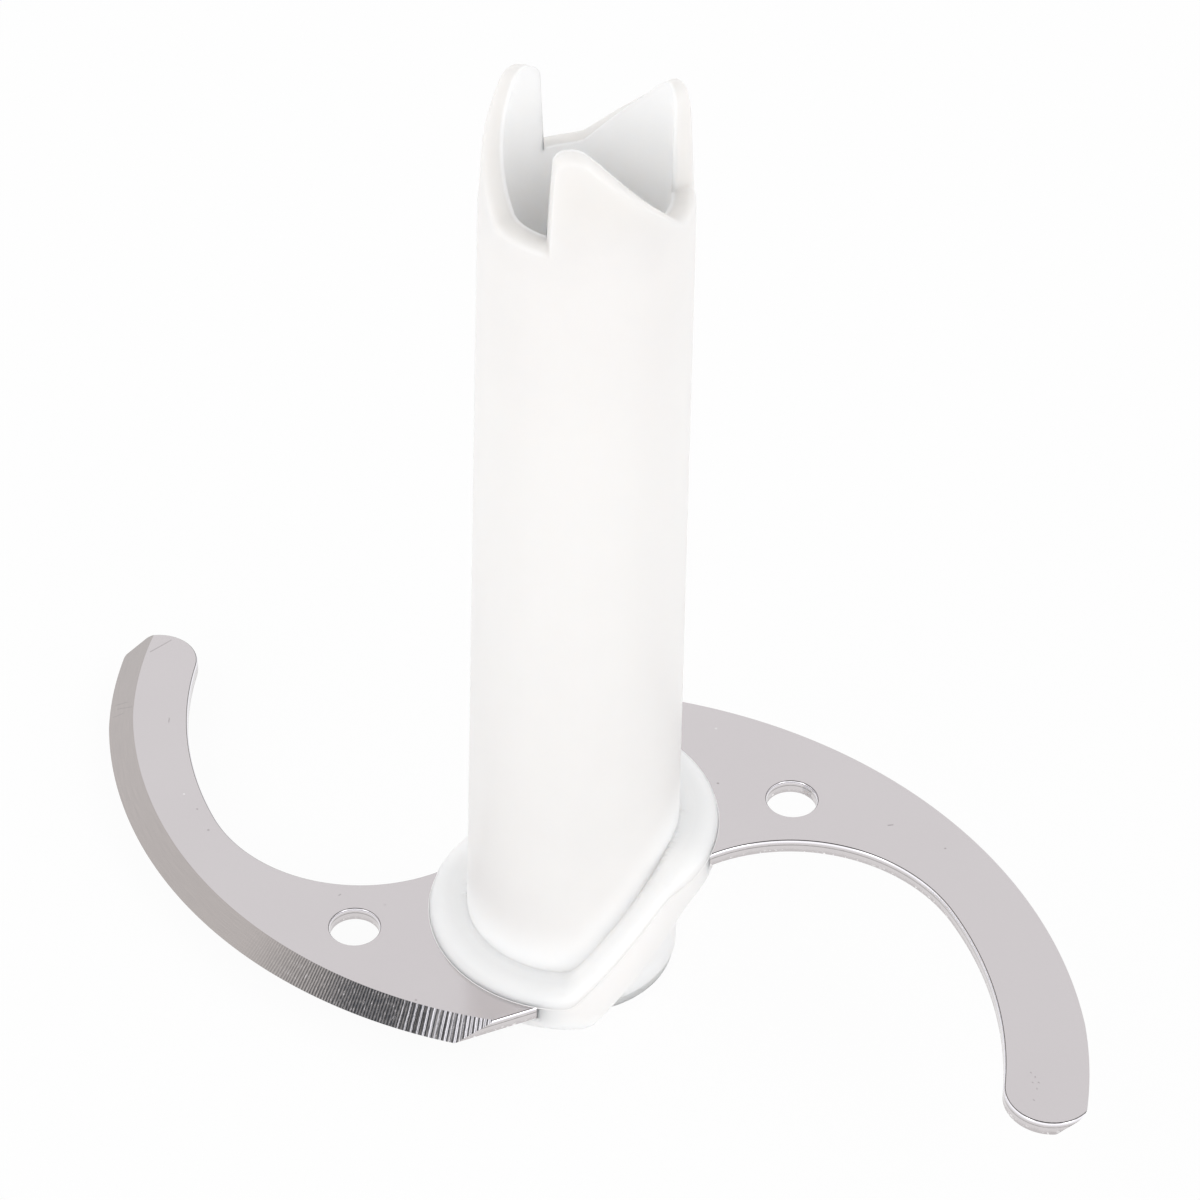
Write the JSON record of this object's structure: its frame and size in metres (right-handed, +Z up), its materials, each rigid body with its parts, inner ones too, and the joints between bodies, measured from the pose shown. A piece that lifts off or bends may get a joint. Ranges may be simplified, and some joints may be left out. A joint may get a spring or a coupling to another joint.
{
  "type": "food processor blade",
  "caption": "Tall plastic drive sleeve with a toothed crown and curved, bevelled steel blades moulded into a ramped collar near its foot.",
  "frame": {"origin": "centre of the drive socket in the plane of the foot", "axes": "+Z up along the sleeve to the crown; the lower blade lies towards -X with its tip at +Y, the upper blade is turned half round"},
  "size_m": [0.1197, 0.0964, 0.1249],
  "materials": {
    "hub_plastic": "milky white moulded polypropylene with a soft sheen",
    "blade_steel": "satin stainless sheet with a coarsely ground bevel"
  },
  "bodies": {
    "root": {"hub": "hub_plastic", "lower_blade": "blade_steel", "upper_blade": "blade_steel"}
  },
  "joints": []
}
